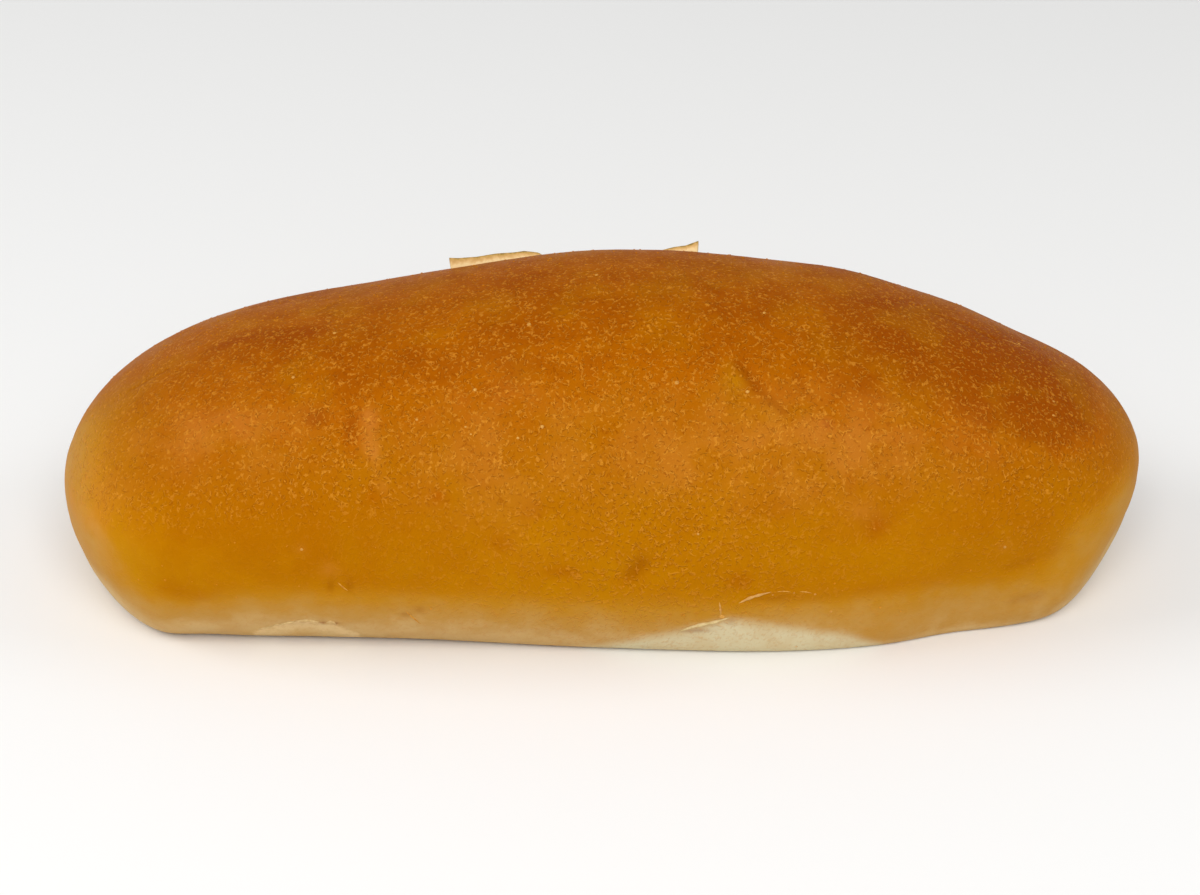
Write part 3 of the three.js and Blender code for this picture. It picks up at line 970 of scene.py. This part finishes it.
# %% Creases
# [x, angle] points, width, height, how pale: 0 like glaze, 1 like crumb
CREASES = (
    ([[11.4, 199.4], [14, 197.2], [16.6, 196], [19, 194.6]], 0.5, 0.4, 1.0),  # lower front
    ([[20.3, 189.8], [22.3, 188], [25.2, 186.6]], 0.5, 0.26, 0.35),  # upper front
    ([[25.8, 186.7], [27, 186.7], [28.2, 187]], 0.3, 0.08, 0.15),  # its broken right half
    ([[29.4, 187.1], [30.4, 187.4], [31.4, 188]], 0.3, 0.08, 0.15),
    ([[17.7, 193.8], [17.6, 191.6], [17.4, 189.2]], 0.4, 0.16, 0.3),  # fork
    ([[-53, 206.6], [-51.8, 205], [-50.4, 203.8]], 0.5, 0.16, 0.8),  # rim of the torn patch
    ([[-50.2, 203.2], [-48.6, 201.9], [-46.9, 199.9]], 0.55, 0.2, 0.8),
    ([[-46.6, 199.8], [-45.2, 199.2], [-43.4, 199.9]], 0.5, 0.16, 0.8),
    ([[-42.2, 200.2], [-41.4, 199.4], [-40.8, 200.8]], 0.5, 0.16, 0.8),
    ([[-39.9, 183.6], [-39.2, 185], [-38.4, 186.2]], 0.35, 0.1, 0.1),
    ([[-30, 193], [-29, 195.8], [-27.7, 199.4]], 0.35, 0.1, 0.1),
    ([[62, 87.4], [64.5, 86.6], [67.5, 86.2]], 0.4, 0.06, 0.2),  # crown, right
)
# x, angle, radius of the blisters that burst and dried to a light flake
BURST_BLISTERS = (
    (17.9, 194.2, 0.45), (28.6, 187.4, 0.18), (31.8, 188.4, 0.2), (25.4, 187.6, 0.18),
    (10.9, 130.4, 0.34), (21.4, 132.4, 0.3), (-45, 173.6, 0.28),
    (-46.9, 121.6, 0.28), (-41.2, 102.4, 0.28), (-1.1, 89.6, 0.3), (-11.3, 110.4, 0.34),
    (-19.2, 130.8, 0.3), (-20.5, 141.2, 0.26), (-19.7, 143.2, 0.24), (-12.7, 144.4, 0.22),
    (-9.1, 141.6, 0.28), (-27.8, 138.8, 0.24), (60.7, 181.6, 0.24), (69, 125.2, 0.24),
    (68.7, 133.2, 0.24), (24.4, 105.2, 0.24), (46.5, 94, 0.26), (65.1, 84.4, 0.26),
    (72.4, 85.2, 0.26), (34.4, 194.8, 0.24), (14, 169.2, 0.2),
)
CREASE_ROOT, BURST_ROOT = 0.4, 0.2  # how deep they reach into the skin
CREASE_UNEVENNESS = 0.18
BURST_FLATNESS, BURST_PALENESS = 0.4, 0.2


def crease(points, width, height):
    steps = 40
    t = np.linspace(0, 1, steps + 1)
    taper = 0.12 + 0.88 * np.sin(np.pi * t) ** 0.7
    uneven = 1 + CREASE_UNEVENNESS * np.sin(t * 23 + width * 9) * np.sin(np.pi * t)
    return strip(points, width / 2 * taper * uneven, height * taper * uneven,
                 np.full(steps + 1, CREASE_ROOT), steps)


def burst_blister(x, angle, radius):
    steps = 8
    t = np.linspace(-1, 1, steps + 1)
    round_plan = np.sqrt(np.maximum(1 - t * t, 0.01))
    route = [[x - radius, angle], [x, angle], [x + radius, angle]]
    return strip(route, radius * round_plan, radius * BURST_FLATNESS * round_plan,
                 np.full(steps + 1, BURST_ROOT), steps)


def crease_material():
    s = Shader("rolled skin edge")
    grain = s.noise(0.6, detail=2)
    glazed = s.ramp(grain, ((0.35, (186, 114, 10)), (0.65, (206, 142, 36))))
    crumb = s.ramp(grain, ((0.35, (194, 168, 114)), (0.65, (214, 192, 142))))
    colour = s.mix(s.attribute("paleness"), glazed, crumb)
    s.feed(s.surface.inputs["Base Color"], colour)
    s.surface.inputs["Roughness"].default_value = 0.6
    s.surface.inputs["Specular IOR Level"].default_value = 0.05
    bump = s.add("ShaderNodeBump", {"Strength": 0.4, "Distance": 0.05 * MM, "Height": grain})
    s.feed(s.surface.inputs["Normal"], bump.outputs[0])
    return s.material


shapes = [crease(*c[:-1]) for c in CREASES] + [burst_blister(*b) for b in BURST_BLISTERS]
creases = new_mesh_object("crust_creases", *join_shapes(shapes))
paleness = [c[-1] for c in CREASES] + [BURST_PALENESS] * len(BURST_BLISTERS)
store(creases.data, "paleness", np.repeat(paleness, [len(points) for points, _ in shapes]))
creases.data.materials.append(crease_material())
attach(creases, "root")
print("crease faces:", len(creases.data.polygons))

# %% [markdown]
# ## The peeled lip
# Just behind the crown one strip of skin came loose. Its two ends stand up, so from the
# front they show as thin slivers over the outline, and its middle lies down on the crust.
# The skin's inner side is pale, dry crumb, and only its upper rim is browned.

# %% Lip
LIP_EDGE = ((-24.4, 1.8), (-23, 1.5), (-20.2, 1.25), (-17, 1.35), (-14.4, 1.2), (-12.6, 1.25),
            (-10.4, 0.75), (-9.5, 0.05), (9, 0.05), (11.4, 0.7), (13.2, 1.0), (15.1, 1.85))
LIP_END_ANGLE, LIP_MIDDLE_ANGLE = 57.5, 51.0
LIP_THICKNESS = 0.55
LIP_ROOT = 0.9


def lip():
    steps = 120
    t = np.linspace(0, 1, steps + 1)
    left, right = LIP_EDGE[0][0], LIP_EDGE[-1][0]
    knots = np.linspace(0, 1, 5)
    angles = LIP_MIDDLE_ANGLE + (LIP_END_ANGLE - LIP_MIDDLE_ANGLE) * (2 * knots - 1) ** 2
    points = np.stack([left + knots * (right - left), angles], -1)
    edge_x, edge_rise = np.array(LIP_EDGE).T
    rise = np.interp(left + t * (right - left), edge_x, edge_rise)
    return strip(points, np.full(steps + 1, LIP_THICKNESS / 2), rise,
                 np.full(steps + 1, LIP_ROOT), steps)


def lip_material():
    s = Shader("peeled skin")
    grain = s.noise(0.8, detail=3, roughness=0.6)
    uneven = s.spread(grain, 0.16)
    rise = s.math("ADD", s.attribute("rise"), uneven)
    colour = s.ramp(rise, ((0.0, (238, 212, 156)), (0.3, (222, 184, 122)), (0.55, (206, 164, 100)),
                           (0.8, (190, 150, 80)), (0.95, (140, 112, 44))))
    s.feed(s.surface.inputs["Base Color"], colour)
    s.surface.inputs["Roughness"].default_value = 0.6
    s.surface.inputs["Specular IOR Level"].default_value = 0.2
    return s.material


lip_points, lip_faces = lip()
peeled_lip = new_mesh_object("crust_lip", lip_points, lip_faces)
up_the_lip = np.sin(np.arange(STRIP_SIDES) * 2 * np.pi / STRIP_SIDES)
store(peeled_lip.data, "rise", np.tile(up_the_lip, len(lip_points) // STRIP_SIDES))
peeled_lip.data.materials.append(lip_material())
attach(peeled_lip, "root")
print("lip faces:", len(peeled_lip.data.polygons))

# %% [markdown]
# ## Floor and light
# The roll lies on a plain pale floor. One large soft light stands in front and above, close
# to the line of sight, so the browned crown turns away from it while the front flank takes a
# broad satin sheen. The floor and a pale surround fill the shade.

# %% Studio
FLOOR_REACH = 3.0  # in metres, to each side
FLOOR_COLOUR = (240, 240, 239)


def soft_light(name, size, power, azimuth, height_angle, distance):
    """A square soft light that looks at the roll from an azimuth and a height angle."""
    lamp = bpy.data.lights.new(name, "AREA")
    lamp.shape, lamp.size, lamp.energy = "SQUARE", size, power
    light = bpy.data.objects.new(name, lamp)
    a, e = math.radians(azimuth), math.radians(height_angle)
    back = Vector((math.sin(a) * math.cos(e), -math.cos(a) * math.cos(e), math.sin(e)))
    light.location = back * distance + Vector((0, 0, 0.02))
    light.rotation_euler = (-back).to_track_quat("-Z", "Y").to_euler()
    bpy.context.scene.collection.objects.link(light)


def pale_floor():
    mesh = bpy.data.meshes.new("floor")
    r = FLOOR_REACH
    mesh.from_pydata([(-r, -r, 0), (r, -r, 0), (r, r, 0), (-r, r, 0)], [], [(0, 1, 2, 3)])
    floor = bpy.data.objects.new("floor", mesh)
    bpy.context.scene.collection.objects.link(floor)
    s = Shader("pale floor")
    s.surface.inputs["Base Color"].default_value = linear(FLOOR_COLOUR)
    s.surface.inputs["Roughness"].default_value = 0.9
    mesh.materials.append(s.material)


def pale_surround(strength):
    world = bpy.data.worlds.new("surround")
    world.use_nodes = True
    world.node_tree.nodes["Background"].inputs[0].default_value = (1, 1, 1, 1)
    world.node_tree.nodes["Background"].inputs[1].default_value = strength
    bpy.context.scene.world = world


pale_floor()
pale_surround(strength=0.4)
soft_light("front light", size=0.7, power=6.9, azimuth=2, height_angle=46, distance=1.0)
soft_light("left light", size=0.6, power=4.3, azimuth=-88, height_angle=32, distance=1.1)
soft_light("right light", size=0.6, power=2.0, azimuth=88, height_angle=32, distance=1.1)
bpy.context.scene.view_settings.view_transform = "Standard"
bpy.context.scene.view_settings.look = "None"
